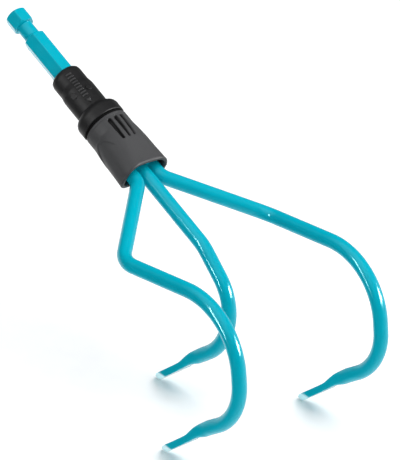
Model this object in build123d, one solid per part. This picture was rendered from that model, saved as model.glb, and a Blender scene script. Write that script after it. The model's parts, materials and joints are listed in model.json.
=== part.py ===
from build123d import *
import math
import os

# Three-tine hand cultivator head that plugs into a separate handle. Millimetres.
# Tool frame: shank axis on Z with the ferrule's mouth at z = 0 and the hex end up,
# +X to one side, +Y the way the tine points face. A last transform stands the tool
# on its three points.

# Hexagonal shank
HEX_FLATS = 10.0
HEX_EDGE_R = 0.6
HEX_CLOCKING = -5.0
NECK_D = 7.8
SHANK_TOP = 106.3
HEAD_EDGE = 105.4
HEAD_UNDER = 98.3
NECK_BOTTOM = 91.2
SHOULDER = 89.3
SHANK_BOTTOM = 18.0

# Black spigot on the shank
SPIGOT_TOP = 65.4
SPIGOT_UPPER_D = 15.5
SPIGOT_LOWER_D = 16.5
SPIGOT_TAPER_TOP = 56.8
SPIGOT_TAPER_BOTTOM = 53.7
FLANGE_TOP = 40.6
FLANGE_D = 22.6
FLANGE_BOTTOM = 32.8
BOSS_D = 17.6
BOSS_BOTTOM = 26.6
PIP_D = 3.4
PIP_PROUD = 0.5
PIP_Z = 50.1
PIP_ANGLES = (0, -60, 120, 180)

# Rubber ring between spigot and ferrule
RING_OD = 21.4
RING_BOTTOM = 31.4

# Grey ferrule
FERRULE_D = 22.2
FERRULE_CREASE = 24.5
MOUTH_W = 26.5
MOUTH_H = 16.8
MOUTH_R = 6.8
MOUTH_WALL = 1.9
MOUTH_ARCH = 1.2
POCKET_DEPTH = 13.0
GROOVE_W = 1.5
GROOVE_FLOOR_R = 9.8
GROOVE_TOP = 28.6
GROOVE_BOTTOM = 16.5
GROOVE_PITCH = 18.5

# Tine rods
ROD_D = 7.0
ROD_PITCH = 7.3
ROD_TOP = 18.0
FIT_GAP = 0.1

# Forged points
POINT_LENGTH = 36.2
POINT_DROOP = 24.0
POINT_W = 9.6
POINT_T = 3.4
POINT_OUTER = 2.2

# Outer tine corners (x, y, z) and bend radii, +X side
OUTER_ROUTE = [
    (ROD_PITCH, 0.0, ROD_TOP),
    (ROD_PITCH, 0.0, -3.4),
    (47.2, 0.0, -40.6),
    (46.4, -34.9, -102.2),
    (46.3, 4.8, -133.2),
    (45.6, 24.7, -121.9),
]
OUTER_RADII = [7.6, 13.6, 34.7, 24.0]

# Middle tine corners and bend radii
MIDDLE_ROUTE = [
    (0.0, 0.0, ROD_TOP),
    (0.0, 0.0, -45.8),
    (0.0, 13.3, -91.4),
    (0.0, 44.9, -75.3),
]
MIDDLE_RADII = [27.0, 25.4]

# The tool stands on its points, shank leaning up
STAND_TILT = -66.6


def turned(profile):
    """A solid of revolution about Z from (radius, height) corners."""
    return revolve(Plane.XZ * make_face(Polyline(*profile, close=True)), Axis.Z)


def hexagon(flats, edge_r):
    """A hexagon with one flat square to the Y axis before clocking."""
    plain = RegularPolygon(flats / 2, 6, major_radius=False, rotation=0)
    rounded = fillet(plain.vertices(), edge_r) if edge_r else plain
    return Rot(0, 0, HEX_CLOCKING) * rounded


def hex_bar(flats, bottom, top, edge_r=0.0):
    return Pos(0, 0, bottom) * extrude(hexagon(flats, edge_r), top - bottom)


def make_shank():
    """Hex bar with a latch neck and a domed, chamfered head."""
    neck_r = NECK_D / 2
    envelope = turned([
        (0, SHANK_BOTTOM), (6, SHANK_BOTTOM), (6, SHOULDER), (neck_r, NECK_BOTTOM),
        (neck_r, HEAD_UNDER), (5.0, HEAD_UNDER), (6, HEAD_UNDER + 1.1),
        (6, HEAD_EDGE - 0.4), (5.2, HEAD_EDGE + 0.3), (4.3, SHANK_TOP), (0, SHANK_TOP),
    ])
    return hex_bar(HEX_FLATS, SHANK_BOTTOM, SHANK_TOP, HEX_EDGE_R) & envelope


def make_spigot():
    """Stepped sleeve on the shank, with a rounded flange, detent pips and a boss below."""
    upper_r = SPIGOT_UPPER_D / 2
    lower_r = SPIGOT_LOWER_D / 2
    flange_r = FLANGE_D / 2
    outline = Polyline(
        (0, SPIGOT_TOP), (upper_r - 2.2, SPIGOT_TOP), (upper_r - 1.1, SPIGOT_TOP - 0.3),
        (upper_r - 0.3, SPIGOT_TOP - 1.2), (upper_r, SPIGOT_TOP - 2.6),
        (upper_r, SPIGOT_TAPER_TOP), (lower_r, SPIGOT_TAPER_BOTTOM), (lower_r, FLANGE_TOP + 0.6),
        (lower_r + 0.4, FLANGE_TOP),
    )
    shoulder = RadiusArc(
        (lower_r + 0.4, FLANGE_TOP), (flange_r, FLANGE_TOP - 3.2), 3.4, short_sagitta=True
    )
    bottom = Polyline(
        (flange_r, FLANGE_TOP - 3.2), (flange_r, FLANGE_BOTTOM + 0.3),
        (flange_r - 0.3, FLANGE_BOTTOM), (BOSS_D / 2, FLANGE_BOTTOM),
        (BOSS_D / 2, BOSS_BOTTOM), (0, BOSS_BOTTOM), (0, SPIGOT_TOP),
    )
    sleeve = revolve(Plane.XZ * make_face(outline.edges() + [shoulder] + bottom.edges()), Axis.Z)
    for angle in PIP_ANGLES:
        pip = Pos(0, -lower_r + 1.5, PIP_Z) * Rot(90, 0, 0) * extrude(Circle(PIP_D / 2), 1.5 + PIP_PROUD)
        pip = fillet(pip.edges().sort_by(Axis.Y)[0], 0.3)
        sleeve += Rot(0, 0, HEX_CLOCKING + angle) * pip
    return sleeve - hex_bar(HEX_FLATS + 2 * FIT_GAP, BOSS_BOTTOM - 1, SPIGOT_TOP + 1)


def make_ring():
    """Flat rubber ring round the spigot's boss."""
    hole_r = BOSS_D / 2 + FIT_GAP
    return turned([
        (hole_r, RING_BOTTOM), (RING_OD / 2 - 0.2, RING_BOTTOM), (RING_OD / 2, RING_BOTTOM + 0.2),
        (RING_OD / 2, FLANGE_BOTTOM - 0.2), (RING_OD / 2 - 0.2, FLANGE_BOTTOM),
        (hole_r, FLANGE_BOTTOM),
    ])


def section(z, width, depth, corner):
    return Pos(0, 0, z) * RectangleRounded(width, depth, corner)


def make_ferrule():
    """Round at the top, flattening to a wide mouth that shrouds the three rods."""
    round_part = Pos(0, 0, FERRULE_CREASE) * extrude(Circle(FERRULE_D / 2), RING_BOTTOM - FERRULE_CREASE)
    body = loft([
        section(FERRULE_CREASE, FERRULE_D, FERRULE_D, FERRULE_D / 2 - 0.05),
        section(19.5, 23.7, 21.3, 10.2),
        section(11.0, 25.2, 18.9, 8.3),
        section(0, MOUTH_W, MOUTH_H, MOUTH_R),
    ])
    half_w = MOUTH_W / 2
    arch_r = (half_w ** 2 + MOUTH_ARCH ** 2) / (2 * MOUTH_ARCH)
    body -= Pos(0, 0, MOUTH_ARCH - arch_r) * Rot(90, 0, 0) * Cylinder(arch_r, 2 * MOUTH_H)
    mouth_edges = body.faces().sort_by(Axis.Z)[0].edges()
    body = fillet(mouth_edges, 0.7) + round_part
    pocket = loft([
        section(-1, MOUTH_W - 2 * MOUTH_WALL, MOUTH_H - 2 * MOUTH_WALL, MOUTH_R - MOUTH_WALL),
        section(POCKET_DEPTH, 22.4, 13.0, 5.0),
    ])
    slot_w = 2 * ROD_PITCH + ROD_D + 2 * FIT_GAP
    slot = section(POCKET_DEPTH - 1, slot_w, ROD_D + 2 * FIT_GAP, ROD_D / 2)
    body -= pocket + extrude(slot, ROD_TOP + FIT_GAP - POCKET_DEPTH + 1)
    body -= Pos(0, 0, ROD_TOP - 1) * extrude(Circle(7.8), 5.5)
    body -= Pos(0, 0, BOSS_BOTTOM - 0.2) * extrude(Circle(BOSS_D / 2 + FIT_GAP), 8)
    body -= hex_bar(HEX_FLATS + 2 * FIT_GAP, ROD_TOP, RING_BOTTOM)
    groove = Pos(0, -GROOVE_FLOOR_R - 2, (GROOVE_TOP + GROOVE_BOTTOM) / 2) * Box(
        GROOVE_W, 4, GROOVE_TOP - GROOVE_BOTTOM
    )
    for side in (0, 180):
        for step in (-1, 0, 1):
            body -= Rot(0, 0, side + step * GROOVE_PITCH) * groove
    return body


def round_outline(radius):
    """A circle in eight arcs, so that it lofts edge for edge into a rounded rectangle."""
    spans = [(-5, 5), (5, 85), (85, 95), (95, 175), (175, 185), (185, 265), (265, 275), (275, 355)]
    arcs = [CenterArc((0, 0), radius, first, last - first) for first, last in spans]
    return make_face(arcs)


def forged_point(rod_end, x_lean):
    """Flattened end of a rod: inner side stepped down, outer side nicked, tip ground to a point."""
    droop = math.radians(POINT_DROOP)
    ahead = Vector(x_lean, math.cos(droop), math.sin(droop)).normalized()
    lateral = Vector(1, 0, 0)
    rod_ahead = rod_end.z_dir
    rod_lateral = (lateral - rod_ahead * lateral.dot(rod_ahead)).normalized()
    lateral = (lateral - ahead * lateral.dot(ahead)).normalized()
    frame = Plane(origin=rod_end.origin, x_dir=lateral, z_dir=ahead)
    inner_face = POINT_OUTER - POINT_T
    # along, outer side, inner side, width, corner radius (outer is +Y of this frame)
    stations = [
        (2.6, 3.3, -3.5, 7.05, 3.2),
        (4.8, 2.8, -3.4, 7.4, 2.6),
        (7.0, 2.15, -3.05, 8.0, 1.8),
        (9.8, 1.95, -2.2, 8.8, 1.0),
        (12.8, 2.05, inner_face - 0.2, 9.4, 0.6),
        (15.8, POINT_OUTER, inner_face, POINT_W, 0.45),
        (POINT_LENGTH, POINT_OUTER, inner_face, POINT_W, 0.45),
    ]
    faces = [Plane(origin=rod_end.origin, x_dir=rod_lateral, z_dir=rod_ahead) * round_outline(ROD_D / 2)]
    for along, outer, inner, width, corner in stations:
        middle = (outer + inner) / 2
        faces.append(frame * Pos(0, middle, along) * RectangleRounded(width, outer - inner, corner))
    blade = loft(faces[:-1]) + loft(faces[-2:])
    # ground tip: a facet on each side, meeting in a blunt end, and a small bevel on the inner face
    half = POINT_W / 2
    cuts = []
    for side in (1, -1):
        upper = Vector(side * half, inner_face, POINT_LENGTH - 8.4)
        lower = Vector(side * half, POINT_OUTER, POINT_LENGTH - 11.6)
        tip = Vector(0, 0.3, POINT_LENGTH + 0.4)
        cuts.append((upper, tip - upper, (lower - upper).cross(tip - upper)))
    bevel = Vector(0, inner_face, POINT_LENGTH - 3.0)
    cuts.append((bevel, Vector(1, 0, 0), Vector(0, -3.0, 0.7)))
    for origin, x_dir, normal in cuts:
        outward = normal if normal.Z > 0 else -normal
        facet = Plane(origin=origin, x_dir=x_dir, z_dir=outward)
        blade -= frame * facet * Pos(0, 0, 10) * Box(60, 60, 20)
    return blade


def make_tine(route, radii, side):
    """A bent round rod ending in a forged point; side mirrors the outer tine."""
    points = [(side * x, y, z) for x, y, z in route]
    path = FilletPolyline(*points, radius=radii)
    rod = sweep(Plane(origin=path @ 0, z_dir=path % 0) * Circle(ROD_D / 2), path=path)
    x_lean = -0.02 * side if len(radii) > 2 else 0.0
    return rod + forged_point(Plane(origin=path @ 1, z_dir=path % 1), x_lean)


def make_seam_welds():
    """Beads laid in the valleys between neighbouring rods, inside the ferrule."""
    beads = []
    for x in (-ROD_PITCH / 2, ROD_PITCH / 2):
        for y in (-2.5, 2.5):
            bead = Pos(x, y, 4) * extrude(Circle(1.5), 12)
            for rod_x in (-ROD_PITCH, 0, ROD_PITCH):
                bead -= Pos(rod_x, 0, 0) * extrude(Circle(ROD_D / 2), 20)
            beads.append(bead)
    return Compound(children=[b.solid() for b in beads])


def make_root_weld():
    """Fillet weld round the end of the hex bar, where it butts on the rods."""
    cone = turned([(0, SHANK_BOTTOM), (7.4, SHANK_BOTTOM), (5.9, 21.2), (0, 21.2)])
    trimmed = cone & Pos(0, 0, 20) * Box(20, 9.4, 10)
    return trimmed - hex_bar(HEX_FLATS, SHANK_BOTTOM - 1, 22, HEX_EDGE_R)


nodes = {
    "hex_shank": make_shank(),
    "spigot": make_spigot(),
    "joint_ring": make_ring(),
    "ferrule": make_ferrule(),
    "tine_left": make_tine(OUTER_ROUTE, OUTER_RADII, -1),
    "tine_middle": make_tine(MIDDLE_ROUTE, MIDDLE_RADII, 1),
    "tine_right": make_tine(OUTER_ROUTE, OUTER_RADII, 1),
    "seam_welds": make_seam_welds(),
    "root_weld": make_root_weld(),
}

stood = {name: Rot(STAND_TILT, 0, 0) * shape for name, shape in nodes.items()}
box = Compound(children=[s.moved(Location()) for s in stood.values()]).bounding_box()
place = Pos(-box.center().X, -box.center().Y, -box.min.Z)

os.makedirs("parts", exist_ok=True)
for name, shape in stood.items():
    placed = place * shape
    b = placed.bounding_box()
    print(name, "volume", round(placed.volume, 1), "valid", placed.is_valid,
          "z", round(b.min.Z, 3), round(b.max.Z, 3))
    export_step(placed, f"parts/{name}.step")
print("size", [round(v, 2) for v in (box.size.X, box.size.Y, box.size.Z)])
mouth = (place * Rot(STAND_TILT, 0, 0)).position
print("axis point 0", [round(v, 3) for v in mouth])
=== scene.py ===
import bpy
import json
import math
from mathutils import Matrix, Vector


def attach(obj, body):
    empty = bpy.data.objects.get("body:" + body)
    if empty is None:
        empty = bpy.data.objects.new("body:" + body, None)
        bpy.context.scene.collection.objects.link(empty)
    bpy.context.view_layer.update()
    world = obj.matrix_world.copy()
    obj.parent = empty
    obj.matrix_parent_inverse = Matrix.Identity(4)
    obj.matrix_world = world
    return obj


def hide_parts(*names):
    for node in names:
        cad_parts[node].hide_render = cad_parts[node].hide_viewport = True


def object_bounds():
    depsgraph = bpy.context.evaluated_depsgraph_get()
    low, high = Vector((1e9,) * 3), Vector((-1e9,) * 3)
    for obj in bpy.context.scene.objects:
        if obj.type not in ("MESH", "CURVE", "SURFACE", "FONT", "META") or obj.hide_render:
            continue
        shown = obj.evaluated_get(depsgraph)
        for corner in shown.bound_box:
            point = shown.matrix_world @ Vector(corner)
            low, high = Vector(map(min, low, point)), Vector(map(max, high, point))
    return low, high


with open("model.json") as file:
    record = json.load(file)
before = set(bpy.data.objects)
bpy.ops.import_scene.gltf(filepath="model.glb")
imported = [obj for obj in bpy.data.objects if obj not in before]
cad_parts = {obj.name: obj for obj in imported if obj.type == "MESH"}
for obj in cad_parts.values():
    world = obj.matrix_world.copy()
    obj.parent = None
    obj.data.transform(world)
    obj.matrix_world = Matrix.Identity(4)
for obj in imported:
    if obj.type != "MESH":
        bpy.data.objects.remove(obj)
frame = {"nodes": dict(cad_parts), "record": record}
cad_low, cad_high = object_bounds()
nodes = frame["nodes"]
MM = 0.001

# ---------------------------------------------------------------- where the tool lies
# The tool's own axis runs from the ferrule's mouth up to the hex end. The handle
# sleeve's mount sits on it, SLEEVE_HEIGHT above the mouth.
SLEEVE_HEIGHT = 59.8 * MM
mounts = {m["name"]: m for m in frame["record"]["mounts"]}
sleeve = mounts["handle_sleeve"]
ALONG = Vector(sleeve["axis"]).normalized()
ACROSS = Vector((1.0, 0.0, 0.0))
FORE = ALONG.cross(ACROSS)
MOUTH = Vector(sleeve["pos_m"]) - ALONG * SLEEVE_HEIGHT


def tool_point(x, y, z):
    """A point of the tool's own frame, in millimetres, as a point of the scene."""
    return MOUTH + (ACROSS * x + FORE * y + ALONG * z) * MM


# ---------------------------------------------------------------- mesh helpers
def new_piece(name, points, faces):
    """A smooth-shaded mesh in the scene."""
    mesh = bpy.data.meshes.new(name)
    mesh.from_pydata([tuple(p) for p in points], [], faces)
    mesh.validate()
    for face in mesh.polygons:
        face.use_smooth = True
    mesh.update()
    piece = bpy.data.objects.new(name, mesh)
    bpy.context.scene.collection.objects.link(piece)
    return piece


def rings_to_faces(ring_count, ring_size, closed):
    """Quads between neighbouring rings; closed joins the last ring to the first."""
    faces = []
    rows = ring_count if closed else ring_count - 1
    for row in range(rows):
        low = row * ring_size
        high = ((row + 1) % ring_count) * ring_size
        for k in range(ring_size):
            nxt = (k + 1) % ring_size
            faces.append((low + k, low + nxt, high + nxt, high + k))
    return faces


def soft_step(low, high, value):
    """0 below low, 1 above high, and a smooth rise between them."""
    t = min(1.0, max(0.0, (value - low) / (high - low)))
    return t * t * (3 - 2 * t)


# ---------------------------------------------------------------- grey ferrule
FERRULE_TOP = 31.4
FERRULE_CREASE = 24.5
# height, width, depth, corner radius of the flaring part
FERRULE_SECTIONS = [
    (24.5, 22.2, 22.2, 11.05),
    (19.5, 23.7, 21.3, 10.2),
    (11.0, 25.2, 18.9, 8.3),
    (0.0, 26.5, 16.8, 6.8),
]
MOUTH_WALL = 1.9
MOUTH_RIM = 0.95
MOUTH_ARCH = 1.2
POCKET_DEPTH = 13.0
POCKET_FLOOR = (22.4, 13.0, 5.0)
SLOT = (21.8, 7.2, 3.55)
SLOT_TOP = 18.1
BORE_R = 8.9
BORE_BOTTOM = 26.4
CORE_R = 6.2
RING_SIZE = 336
# lip at the top, with a fine parting groove under it
LIP_ROUND = 0.35
LIP_ROUND_HEIGHT = 0.45
LIP_GROOVE_Z = 30.1
LIP_GROOVE_DEPTH = 0.16
LIP_GROOVE_WIDTH = 0.16
# arch-topped flats on the narrow sides; angles in degrees from the middle of the side
ARCH_TOP = 23.8
ARCH_TURN = 30.0
ARCH_FALL = 5.0
ARCH_DEPTH = 0.5
ARCH_EDGE = 1.0
ARCH_SIDE_FADE = (26.0, 44.0)
ARCH_LOW_FADE = (2.0, 16.0)
# grip grooves on both wide sides, turned a little from the middle; wider at the top
GROOVE_SIDES = (-90.0, 90.0)
GROOVE_ANGLES = (-29.1, -10.6, 7.9)
GROOVE_NEAR = 12.0
GROOVE_HALF_TOP = 1.0
GROOVE_HALF_BOTTOM = 0.6
GROOVE_TOP = 28.6
GROOVE_BOTTOM = 16.5
GROOVE_FLOOR_R = 9.5
GROOVE_SOFT = 0.22
# groove depth in millimetres at which the painted shade in a grip groove is full
FULL_SHADE_DEPTH = 0.9
# ring spacing down the outside, finest round the lip, and ring counts round the rim and pocket
LIP_STEP, COLLAR_STEP, BODY_STEP = 0.06, 0.12, 0.24
LIP_ZONE = 0.5
COLLAR_ZONE_Z = 29.4
RIM_STEPS = 8
POCKET_STEPS = 12
POCKET_TOP = 1.0


def through(heights, values, z):
    """The smooth curve through the given values, read at height z."""
    total = 0.0
    for i, (hi, vi) in enumerate(zip(heights, values)):
        share = 1.0
        for j, hj in enumerate(heights):
            if j != i:
                share *= (z - hj) / (hi - hj)
        total += share * vi
    return total


def ferrule_section(z):
    """Width, depth and corner radius of the ferrule at this height; round above the crease."""
    z = min(z, FERRULE_CREASE)
    heights = [s[0] for s in FERRULE_SECTIONS]
    return [through(heights, [s[k] for s in FERRULE_SECTIONS], z) for k in (1, 2, 3)]


def outline_radius(angle, width, depth, corner):
    """How far out a rounded rectangle's edge lies in the direction of angle."""
    c, s = abs(math.cos(angle)), abs(math.sin(angle))
    half_w, half_d = width / 2, depth / 2
    corner = min(corner, half_w - 1e-4, half_d - 1e-4)
    cx, cy = half_w - corner, half_d - corner
    if c > 1e-9 and half_w * s / c <= cy:
        return half_w / c
    if s > 1e-9 and half_d * c / s <= cx:
        return half_d / s
    along = c * cx + s * cy
    return along + math.sqrt(max(0.0, along * along - cx * cx - cy * cy + corner * corner))


def groove_cut(angle, z, radius):
    """Depth of the grip grooves at this place on the ferrule's skin."""
    if z > GROOVE_TOP + 1 or z < GROOVE_BOTTOM - 2:
        return 0.0
    best = 0.0
    for side in GROOVE_SIDES:
        for step in GROOVE_ANGLES:
            turn = math.degrees(angle) - side - step
            turn = (turn + 180.0) % 360.0 - 180.0
            if abs(turn) > GROOVE_NEAR:
                continue
            u = abs(math.radians(turn)) * radius
            rise = min(1.0, max(0.0, (z - GROOVE_BOTTOM) / (GROOVE_TOP - GROOVE_BOTTOM)))
            half = GROOVE_HALF_BOTTOM + (GROOVE_HALF_TOP - GROOVE_HALF_BOTTOM) * rise
            past_end = max(0.0, GROOVE_BOTTOM + half - z, z - GROOVE_TOP + GROOVE_HALF_BOTTOM)
            reach = math.hypot(u, past_end)
            wall = 1.0 - soft_step(half - GROOVE_SOFT, half + GROOVE_SOFT, reach)
            best = max(best, wall * max(0.0, radius - GROOVE_FLOOR_R))
    return best


def ferrule_skin(angle, z):
    """Radius of the ferrule's outside at this angle and height."""
    radius = outline_radius(angle, *ferrule_section(z))
    radius -= LIP_ROUND * (1 - soft_step(0.0, LIP_ROUND_HEIGHT, FERRULE_TOP - z))
    radius -= LIP_GROOVE_DEPTH * math.exp(-((z - LIP_GROOVE_Z) / LIP_GROOVE_WIDTH) ** 2)
    side_turn = abs((math.degrees(angle) + 90) % 180 - 90)
    arch_top = ARCH_TOP - (side_turn / ARCH_TURN) ** 2 * ARCH_FALL
    shallow = soft_step(0.0, ARCH_EDGE, arch_top - z) * (1 - soft_step(*ARCH_SIDE_FADE, side_turn))
    radius -= ARCH_DEPTH * shallow * soft_step(*ARCH_LOW_FADE, z)
    return radius - groove_cut(angle, z, radius)


def groove_shade_at(angle, z):
    """How far down in a grip groove this place lies, from 0 to 1: the amount of painted shade there."""
    radius = outline_radius(angle, *ferrule_section(z))
    return min(1.0, groove_cut(angle, z, radius) / FULL_SHADE_DEPTH)


def skin_step(z):
    """Spacing from this ring of the outside to the next one down."""
    if z > FERRULE_TOP - LIP_ZONE:
        return LIP_STEP
    return COLLAR_STEP if z > COLLAR_ZONE_Z else BODY_STEP


def ferrule_ring(radius_at, z):
    """One ring of the ferrule's skin; near the mouth it rises over both wide sides."""
    half_mouth = FERRULE_SECTIONS[-1][1] / 2
    points = []
    for k in range(RING_SIZE):
        angle = 2 * math.pi * k / RING_SIZE
        r = radius_at(angle)
        x, y = r * math.cos(angle), r * math.sin(angle)
        arch = MOUTH_ARCH * (1 - min(1.0, abs(x) / half_mouth) ** 2)
        points.append(tool_point(x, y, z + arch * (1 - soft_step(0.0, POCKET_DEPTH, z))))
    return points


def make_ferrule():
    """The moulded ferrule as one closed skin: outside, rolled mouth, pocket, rod slot, bore."""
    rings, groove_shade_amount = [], []
    turns = [2 * math.pi * k / RING_SIZE for k in range(RING_SIZE)]
    z = FERRULE_TOP
    while z > MOUTH_RIM:
        rings.append(ferrule_ring(lambda a, h=z: ferrule_skin(a, h), z))
        groove_shade_amount += [groove_shade_at(turn, z) for turn in turns]
        z -= skin_step(z)
    width, depth, corner = ferrule_section(0)
    for k in range(RIM_STEPS + 1):
        t = math.pi * k / RIM_STEPS
        inset = MOUTH_RIM * (1 - math.cos(t))
        height = MOUTH_RIM * (1 - math.sin(t))
        size = (width - 2 * inset, depth - 2 * inset, corner - inset * 0.9)
        rings.append(ferrule_ring(lambda a, s=size: outline_radius(a, *s), height))
    pocket = (width - 2 * MOUTH_WALL, depth - 2 * MOUTH_WALL, corner - MOUTH_WALL)
    for k in range(1, POCKET_STEPS + 1):
        t = k / POCKET_STEPS
        size = [p + (q - p) * t for p, q in zip(pocket, POCKET_FLOOR)]
        height = POCKET_TOP + (POCKET_DEPTH - POCKET_TOP) * t
        rings.append(ferrule_ring(lambda a, s=size: outline_radius(a, *s), height))
    for size, height in (
        ((POCKET_FLOOR[0] - 0.3, POCKET_FLOOR[1] - 0.5, 4.9), POCKET_DEPTH + 0.08),
        (SLOT, POCKET_DEPTH + 0.1), (SLOT, SLOT_TOP),
        ((2 * CORE_R, 2 * CORE_R, CORE_R), SLOT_TOP + 0.2),
        ((2 * CORE_R, 2 * CORE_R, CORE_R), BORE_BOTTOM),
        ((2 * BORE_R, 2 * BORE_R, BORE_R), BORE_BOTTOM + 0.05),
        ((2 * BORE_R, 2 * BORE_R, BORE_R), FERRULE_TOP),
    ):
        rings.append(ferrule_ring(lambda a, s=size: outline_radius(a, *s), height))
    points = [p for ring in rings for p in ring]
    piece = new_piece("ferrule_shell", points, rings_to_faces(len(rings), RING_SIZE, True))
    groove_shade_amount += [0.0] * (len(points) - len(groove_shade_amount))
    # the groove depth of each point, which the grey material turns into painted shade
    held = piece.data.attributes.new("groove_shade_amount", "FLOAT", "POINT")
    held.data.foreach_set("value", groove_shade_amount)
    return piece


# ---------------------------------------------------------------- raised marks on the spigot
SPIGOT_UPPER_R = 7.75
SPIGOT_LOWER_R = 8.25
TAPER_TOP = 56.8
TAPER_BOTTOM = 53.7
MARK_ANGLE = -122.4
MARK_PROUD = 0.42
BAR_LENGTH = 3.0
BAR_WIDTH = 0.85
BAR_COUNT = 9
BAR_PITCH = 1.72
BAR_TOP = 60.9
ARROW_TIP = 42.5
ARROW_LENGTH = 2.9
ARROW_NOTCH = 0.72
BAR_CORNER = 0.3
# size and rise of a raised mark's outline, from its root in the skin to its flat top
MARK_LAYERS = [(1.0, -0.25), (1.0, 0.45), (0.93, 0.85), (0.80, 1.0), (0.4, 1.02)]


def spigot_radius(z):
    """Radius of the spigot above its flange, which steps up through a short taper."""
    t = min(1.0, max(0.0, (z - TAPER_BOTTOM) / (TAPER_TOP - TAPER_BOTTOM)))
    return SPIGOT_LOWER_R + (SPIGOT_UPPER_R - SPIGOT_LOWER_R) * t


def raised_patch(outline, points, faces):
    """A raised pad on the spigot's skin: outline is (round, along) corners in millimetres."""
    middle = [sum(c[i] for c in outline) / len(outline) for i in (0, 1)]
    start = len(points)
    for scale, rise in MARK_LAYERS:
        for u, v in outline:
            uu = middle[0] + (u - middle[0]) * scale
            vv = middle[1] + (v - middle[1]) * scale
            radius = spigot_radius(vv) + rise * MARK_PROUD
            angle = math.radians(MARK_ANGLE) + uu / spigot_radius(vv)
            points.append(tool_point(radius * math.cos(angle), radius * math.sin(angle), vv))
    n = len(outline)
    for layer in range(len(MARK_LAYERS) - 1):
        for k in range(n):
            a = start + layer * n + k
            b = start + layer * n + (k + 1) % n
            faces.append((a, b, b + n, a + n))
    faces.append(tuple(start + (len(MARK_LAYERS) - 1) * n + k for k in range(n)))
    faces.append(tuple(start + k for k in reversed(range(n))))


def pill(half_u, half_v, centre_v, corner):
    """Corners of a rounded bar lying across the spigot."""
    corners = []
    for cu, cv, first in (
        (half_u - corner, half_v - corner, 0), (corner - half_u, half_v - corner, 90),
        (corner - half_u, corner - half_v, 180), (half_u - corner, corner - half_v, 270),
    ):
        for k in range(5):
            t = math.radians(first + 22.5 * k)
            corners.append((cu + corner * math.cos(t), centre_v + cv + corner * math.sin(t)))
    return corners


def make_spigot_marks():
    """Nine raised bars and an arrowhead pointing at the flange, on the spigot's flank."""
    points, faces = [], []
    for k in range(BAR_COUNT):
        bar = pill(BAR_LENGTH / 2, BAR_WIDTH / 2, BAR_TOP - k * BAR_PITCH, BAR_CORNER)
        raised_patch(bar, points, faces)
    wide = BAR_LENGTH / 2
    arrow = [
        (0.0, ARROW_TIP), (wide, ARROW_TIP + ARROW_LENGTH),
        (0.0, ARROW_TIP + ARROW_LENGTH * ARROW_NOTCH), (-wide, ARROW_TIP + ARROW_LENGTH),
    ]
    raised_patch(arrow, points, faces)
    return new_piece("spigot_marks", points, faces)


# ---------------------------------------------------------------- painted highlight on the point ends
POINT_DROOP = math.radians(24.0)
POINT_AHEAD = FORE * math.cos(POINT_DROOP) + ALONG * math.sin(POINT_DROOP)
# heights in the object's frame over which the painted highlight on the point ends fades out
TIP_HIGHLIGHT_FULL = 4.6 * MM
TIP_HIGHLIGHT_END = 7.2 * MM


# ---------------------------------------------------------------- shared surface effects
def group(name, inputs, outputs):
    """An empty node group with named inputs (name, type, value) and outputs (name, type)."""
    tree = bpy.data.node_groups.new(name, "ShaderNodeTree")
    for label, kind, value in inputs:
        socket = tree.interface.new_socket(name=label, in_out="INPUT", socket_type=kind)
        socket.default_value = value
    for label, kind in outputs:
        tree.interface.new_socket(name=label, in_out="OUTPUT", socket_type=kind)
    return tree, tree.nodes.new("NodeGroupInput"), tree.nodes.new("NodeGroupOutput")


def noise(tree, vector, scale, detail=2.0, roughness=0.5):
    """Noise over the surface; scale is a number or a socket."""
    node = tree.nodes.new("ShaderNodeTexNoise")
    node.inputs["Detail"].default_value = detail
    node.inputs["Roughness"].default_value = roughness
    tree.links.new(vector, node.inputs["Vector"])
    if isinstance(scale, (int, float)):
        node.inputs["Scale"].default_value = scale
    else:
        tree.links.new(scale, node.inputs["Scale"])
    return node.outputs["Fac"]


def calc(tree, operation, first, second):
    """One sum on two values, each a number or a socket."""
    node = tree.nodes.new("ShaderNodeMath")
    node.operation = operation
    for slot, value in enumerate((first, second)):
        if isinstance(value, (int, float)):
            node.inputs[slot].default_value = value
        else:
            tree.links.new(value, node.inputs[slot])
    return node.outputs[0]


def spread(tree, value, low, high, to_low, to_high):
    """value from low..high laid out on to_low..to_high, with soft ends."""
    node = tree.nodes.new("ShaderNodeMapRange")
    node.interpolation_type = "SMOOTHSTEP"
    tree.links.new(value, node.inputs["Value"])
    ends = {"From Min": low, "From Max": high, "To Min": to_low, "To Max": to_high}
    for label, number in ends.items():
        node.inputs[label].default_value = number
    return node.outputs["Result"]


SURFACE_OUTPUTS = [
    ("Height", "NodeSocketFloat"), ("Shade", "NodeSocketFloat"), ("Roughness", "NodeSocketFloat"),
]


def build_coat_texture():
    """Powder coat: orange peel in the height, slight drift in the shade, tiny nibs."""
    tree, given, out = group(
        "coat_texture",
        [("Peel Scale", "NodeSocketFloat", 700.0), ("Shade Drift", "NodeSocketFloat", 0.1),
         ("Roughness", "NodeSocketFloat", 0.22)],
        SURFACE_OUTPUTS,
    )
    place = tree.nodes.new("ShaderNodeTexCoord").outputs["Object"]
    peel = noise(tree, place, given.outputs["Peel Scale"], 1.5)
    slow = noise(tree, place, 45.0, 3.0)
    nibs = spread(tree, noise(tree, place, 2600.0, 1.0), 0.70, 0.80, 0.0, 0.35)
    tree.links.new(calc(tree, "ADD", peel, nibs), out.inputs["Height"])
    drift = calc(tree, "MULTIPLY", calc(tree, "SUBTRACT", slow, 0.5), given.outputs["Shade Drift"])
    tree.links.new(calc(tree, "ADD", drift, 1.0), out.inputs["Shade"])
    patches = calc(tree, "SUBTRACT", noise(tree, place, 160.0, 2.0), 0.5)
    rough = calc(tree, "MULTIPLY", patches, 0.10)
    tree.links.new(calc(tree, "ADD", rough, given.outputs["Roughness"]), out.inputs["Roughness"])
    return tree


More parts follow.
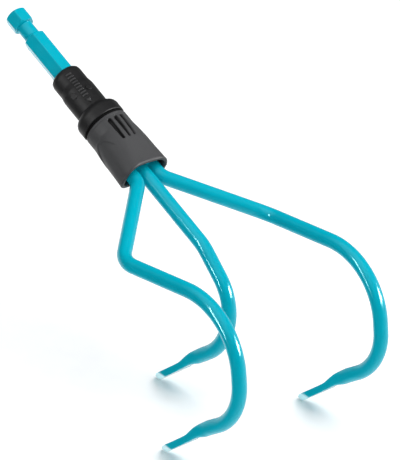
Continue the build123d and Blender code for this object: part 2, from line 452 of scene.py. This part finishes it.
def build_moulded_grain():
    """Spark-eroded mould grain of moulded plastic, with faint flow marks and flecks."""
    tree, given, out = group(
        "moulded_grain",
        [("Grain Scale", "NodeSocketFloat", 2800.0), ("Flow Drift", "NodeSocketFloat", 0.1),
         ("Roughness", "NodeSocketFloat", 0.5)],
        SURFACE_OUTPUTS,
    )
    place = tree.nodes.new("ShaderNodeTexCoord").outputs["Object"]
    grain = noise(tree, place, given.outputs["Grain Scale"], 3.0, 0.6)
    broad = noise(tree, place, 260.0, 2.0)
    tree.links.new(calc(tree, "ADD", grain, calc(tree, "MULTIPLY", broad, 0.4)), out.inputs["Height"])
    flow = calc(tree, "SUBTRACT", noise(tree, place, 110.0, 4.0, 0.6), 0.5)
    flow = calc(tree, "MULTIPLY", flow, given.outputs["Flow Drift"])
    fleck = calc(tree, "MULTIPLY", calc(tree, "SUBTRACT", grain, 0.5), 0.25)
    tree.links.new(calc(tree, "ADD", calc(tree, "ADD", flow, fleck), 1.0), out.inputs["Shade"])
    rough = calc(tree, "MULTIPLY", calc(tree, "SUBTRACT", broad, 0.5), 0.16)
    tree.links.new(calc(tree, "ADD", rough, given.outputs["Roughness"]), out.inputs["Roughness"])
    return tree


def finish(name, texture, values, colour, bump, bump_reach, specular, painted_groove_shade=0.0):
    """A material whose colour, roughness and bump all come from a shared surface effect.

    The last argument is how much darker the colour is painted at the bottom of a recess than on the
    open surface: painted shade, read from a depth stored on the mesh's points.
    """
    material = bpy.data.materials.new(name)
    material.use_nodes = True
    material.diffuse_color = (*colour, 1.0)
    tree = material.node_tree
    shader = tree.nodes["Principled BSDF"]
    effect = tree.nodes.new("ShaderNodeGroup")
    effect.node_tree = texture
    for label, value in values.items():
        effect.inputs[label].default_value = value
    tint = tree.nodes.new("ShaderNodeVectorMath")
    tint.operation = "SCALE"
    tint.inputs[0].default_value = colour
    shade = effect.outputs["Shade"]
    # painted shade: the base colour darkens down in the grip grooves
    if painted_groove_shade:
        held = tree.nodes.new("ShaderNodeAttribute")
        held.attribute_name = "groove_shade_amount"
        darker = calc(tree, "MULTIPLY", held.outputs["Fac"], painted_groove_shade)
        shade = calc(tree, "MULTIPLY", shade, calc(tree, "SUBTRACT", 1.0, darker))
    tree.links.new(shade, tint.inputs["Scale"])
    tree.links.new(tint.outputs["Vector"], shader.inputs["Base Color"])
    tree.links.new(effect.outputs["Roughness"], shader.inputs["Roughness"])
    relief = tree.nodes.new("ShaderNodeBump")
    relief.inputs["Strength"].default_value = bump
    relief.inputs["Distance"].default_value = bump_reach
    tree.links.new(effect.outputs["Height"], relief.inputs["Height"])
    tree.links.new(relief.outputs["Normal"], shader.inputs["Normal"])
    shader.inputs["Specular IOR Level"].default_value = specular
    return material


def paint_tip_highlight(material, highlight_colour):
    """Paler colour on the faces at the very ends of the points, which look ahead along them: a painted
    highlight.
    """
    tree = material.node_tree
    shader = tree.nodes["Principled BSDF"]
    painted = shader.inputs["Base Color"].links[0].from_socket
    face = tree.nodes.new("ShaderNodeNewGeometry").outputs["True Normal"]
    facing = tree.nodes.new("ShaderNodeVectorMath")
    facing.operation = "DOT_PRODUCT"
    facing.inputs[1].default_value = POINT_AHEAD
    tree.links.new(face, facing.inputs[0])
    height = tree.nodes.new("ShaderNodeSeparateXYZ")
    tree.links.new(tree.nodes.new("ShaderNodeTexCoord").outputs["Object"], height.inputs[0])
    ends_ahead = spread(tree, facing.outputs["Value"], 0.2, 0.32, 0.0, 1.0)
    low = spread(tree, height.outputs["Z"], TIP_HIGHLIGHT_FULL, TIP_HIGHLIGHT_END, 1.0, 0.0)
    blend = tree.nodes.new("ShaderNodeMix")
    blend.data_type = "RGBA"
    tree.links.new(calc(tree, "MULTIPLY", ends_ahead, low), blend.inputs["Factor"])
    tree.links.new(painted, blend.inputs[6])
    blend.inputs[7].default_value = (*highlight_colour, 1.0)
    tree.links.new(blend.outputs[2], shader.inputs["Base Color"])


def paint_over(piece, material):
    """Give a piece or a carried-over node this one material."""
    piece.data.materials.clear()
    piece.data.materials.append(material)


CYAN_SHEEN = (0.5, 1.0, 1.0, 1.0)
# pale cyan painted on the point ends as a highlight
TIP_HIGHLIGHT_CYAN = (0.48, 0.88, 0.95)

coat_texture = build_coat_texture()
moulded_grain = build_moulded_grain()

cyan_coat = finish(
    "cyan_powder_coat", coat_texture, {"Peel Scale": 620.0, "Shade Drift": 0.10, "Roughness": 0.13},
    (0.0, 0.370, 0.478), 0.14, 0.00012, 0.5,
)
cyan_shader = cyan_coat.node_tree.nodes["Principled BSDF"]
cyan_shader.inputs["Specular Tint"].default_value = CYAN_SHEEN
black_nylon = finish(
    "black_nylon", moulded_grain, {"Grain Scale": 3000.0, "Flow Drift": 0.25, "Roughness": 0.46},
    (0.0105, 0.0105, 0.011), 0.30, 0.00010, 0.20,
)
# raised marks: smoother and shinier than the spigot, and with a lighter colour that is a painted sheen
sheen_nylon = finish(
    "black_nylon_painted_sheen", moulded_grain, {"Grain Scale": 3000.0, "Flow Drift": 0.25, "Roughness": 0.34},
    (0.020, 0.020, 0.021), 0.20, 0.00008, 0.55,
)
# grey ferrule; its grip grooves get painted shade from the depth stored on the mesh
grey_nylon = finish(
    "grey_nylon", moulded_grain, {"Grain Scale": 2600.0, "Flow Drift": 0.12, "Roughness": 0.50},
    (0.053, 0.053, 0.055), 0.30, 0.00010, 0.20, painted_groove_shade=0.85,
)
# near-black, almost unreflecting band for the join ring between the spigot and the ferrule
near_black_join = finish(
    "near_black_join", moulded_grain, {"Grain Scale": 1800.0, "Flow Drift": 0.2, "Roughness": 0.75},
    (0.002, 0.002, 0.002), 0.3, 0.00010, 0.08,
)

# painted highlight on the end faces of the points
paint_tip_highlight(cyan_coat, TIP_HIGHLIGHT_CYAN)

for node in ("hex_shank", "tine_left", "tine_middle", "tine_right", "seam_welds", "root_weld"):
    paint_over(nodes[node], cyan_coat)
paint_over(nodes["spigot"], black_nylon)
paint_over(nodes["joint_ring"], near_black_join)

ferrule = make_ferrule()
paint_over(ferrule, grey_nylon)
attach(ferrule, "root")
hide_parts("ferrule")

marks = make_spigot_marks()
paint_over(marks, sheen_nylon)
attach(marks, "root")

# ---------------------------------------------------------------- floor, lights and camera
CAMERA_AZIMUTH = -48.135
CAMERA_ELEVATION = 26.338
CAMERA_ROLL = 8.159
CAMERA_DISTANCE = 1.80461
CAMERA_AIM = tool_point(14.81, 9.62, -31.8)
CAMERA_LENS = 303.86

FLOOR_RINGS = (0.4, 1.2, 3.0, 6.0)
FLOOR_SIDES = 96

ROOM_LIGHT = 0.6
ROOM_DIM = 0.015
# bright parts of the room that the gloss mirrors: azimuth, elevation, half-width, strength
ROOM_PATCHES = [(60, -50, 92, 1.7), (178, -22, 40, 1.6), (-95, 60, 50, 1.5)]


def towards(azimuth, elevation):
    """Unit vector from the object to a viewer at this azimuth and elevation, in degrees."""
    a, e = math.radians(azimuth), math.radians(elevation)
    return Vector((math.sin(a) * math.cos(e), -math.cos(a) * math.cos(e), math.sin(e)))


def lay_floor():
    """A wide round sweep of matt card, level with the tips."""
    sides = FLOOR_SIDES
    points = [Vector((0, 0, cad_low.z))]
    for reach in FLOOR_RINGS:
        for k in range(sides):
            turn = 2 * math.pi * k / sides
            points.append(Vector((reach * math.cos(turn), reach * math.sin(turn), cad_low.z)))
    faces = [(0, 1 + k, 1 + (k + 1) % sides) for k in range(sides)]
    for ring in range(len(FLOOR_RINGS) - 1):
        low = 1 + ring * sides
        for k in range(sides):
            nxt = (k + 1) % sides
            faces.append((low + k, low + sides + k, low + sides + nxt, low + nxt))
    floor = new_piece("studio_floor", points, faces)
    card = bpy.data.materials.new("pale_card")
    card.use_nodes = True
    tree = card.node_tree
    shader = tree.nodes["Principled BSDF"]
    place = tree.nodes.new("ShaderNodeTexCoord").outputs["Object"]
    fibre = noise(tree, place, 90.0, 3.0)
    tint = tree.nodes.new("ShaderNodeVectorMath")
    tint.operation = "SCALE"
    tint.inputs[0].default_value = (0.93, 0.93, 0.93)
    tree.links.new(spread(tree, fibre, 0.2, 0.8, 0.99, 1.01), tint.inputs["Scale"])
    tree.links.new(tint.outputs["Vector"], shader.inputs["Base Color"])
    shader.inputs["Roughness"].default_value = 0.9
    shader.inputs["Specular IOR Level"].default_value = 0.1
    paint_over(floor, card)
    floor.visible_glossy = False


def soft_box(name, azimuth, elevation, distance, width, height, watts):
    """A rectangular studio light aimed at the middle of the tool."""
    lamp = bpy.data.lights.new(name, "AREA")
    lamp.shape = "RECTANGLE"
    lamp.size, lamp.size_y = width, height
    lamp.energy = watts
    light = bpy.data.objects.new(name, lamp)
    back = towards(azimuth, elevation)
    light.location = middle + back * distance
    light.rotation_euler = (-back).to_track_quat("-Z", "Y").to_euler()
    bpy.context.scene.collection.objects.link(light)
    return light


middle = (cad_low + cad_high) / 2
lay_floor()
overhead = soft_box("overhead_box", 60, 72, 1.5, 1.3, 1.3, 19.0)
key = soft_box("side_key", 20, 40, 1.5, 0.9, 0.9, 5.0)
for broad in (overhead, key):
    broad.visible_glossy = False
window = soft_box("side_window", 30, 26, 1.3, 0.70, 0.32, 42.0)
strip = soft_box("left_strip", -98, 12, 1.3, 0.10, 1.0, 14.0)
for glint in (window, strip):
    glint.visible_diffuse = False


def light_the_room():
    """Even pale light all round; the gloss mirrors a dim room with a few bright parts."""
    world = bpy.data.worlds.new("pale_studio")
    bpy.context.scene.world = world
    world.use_nodes = True
    tree = world.node_tree
    even = tree.nodes["Background"]
    even.inputs["Color"].default_value = (0.96, 0.98, 1.0, 1.0)
    even.inputs["Strength"].default_value = ROOM_LIGHT
    direction = tree.nodes.new("ShaderNodeTexCoord").outputs["Generated"]
    total = None
    for azimuth, elevation, wide, strength in ROOM_PATCHES:
        aim = tree.nodes.new("ShaderNodeVectorMath")
        aim.operation = "DOT_PRODUCT"
        tree.links.new(direction, aim.inputs[0])
        aim.inputs[1].default_value = towards(azimuth, elevation)
        edge = math.cos(math.radians(wide))
        patch = spread(tree, aim.outputs["Value"], edge, 1.0, 0.0, strength)
        total = patch if total is None else calc(tree, "ADD", total, patch)
    mirrored = tree.nodes.new("ShaderNodeBackground")
    tree.links.new(calc(tree, "ADD", total, ROOM_DIM), mirrored.inputs["Strength"])
    path = tree.nodes.new("ShaderNodeLightPath")
    choose = tree.nodes.new("ShaderNodeMixShader")
    tree.links.new(path.outputs["Is Glossy Ray"], choose.inputs[0])
    tree.links.new(even.outputs[0], choose.inputs[1])
    tree.links.new(mirrored.outputs[0], choose.inputs[2])
    tree.links.new(choose.outputs[0], tree.nodes["World Output"].inputs["Surface"])


light_the_room()

back = towards(CAMERA_AZIMUTH, CAMERA_ELEVATION)
camera = bpy.data.objects.new("studio_camera", bpy.data.cameras.new("studio_camera"))
camera.data.lens = CAMERA_LENS
camera.data.sensor_width = 36.0
camera.data.clip_end = 50.0
roll = Matrix.Rotation(math.radians(CAMERA_ROLL), 3, "Z")
turn = (-back).to_track_quat("-Z", "Y").to_matrix() @ roll
camera.matrix_world = Matrix.Translation(CAMERA_AIM + back * CAMERA_DISTANCE) @ turn.to_4x4()
bpy.context.scene.collection.objects.link(camera)
bpy.context.scene.camera = camera
bpy.context.scene.view_settings.view_transform = "Standard"
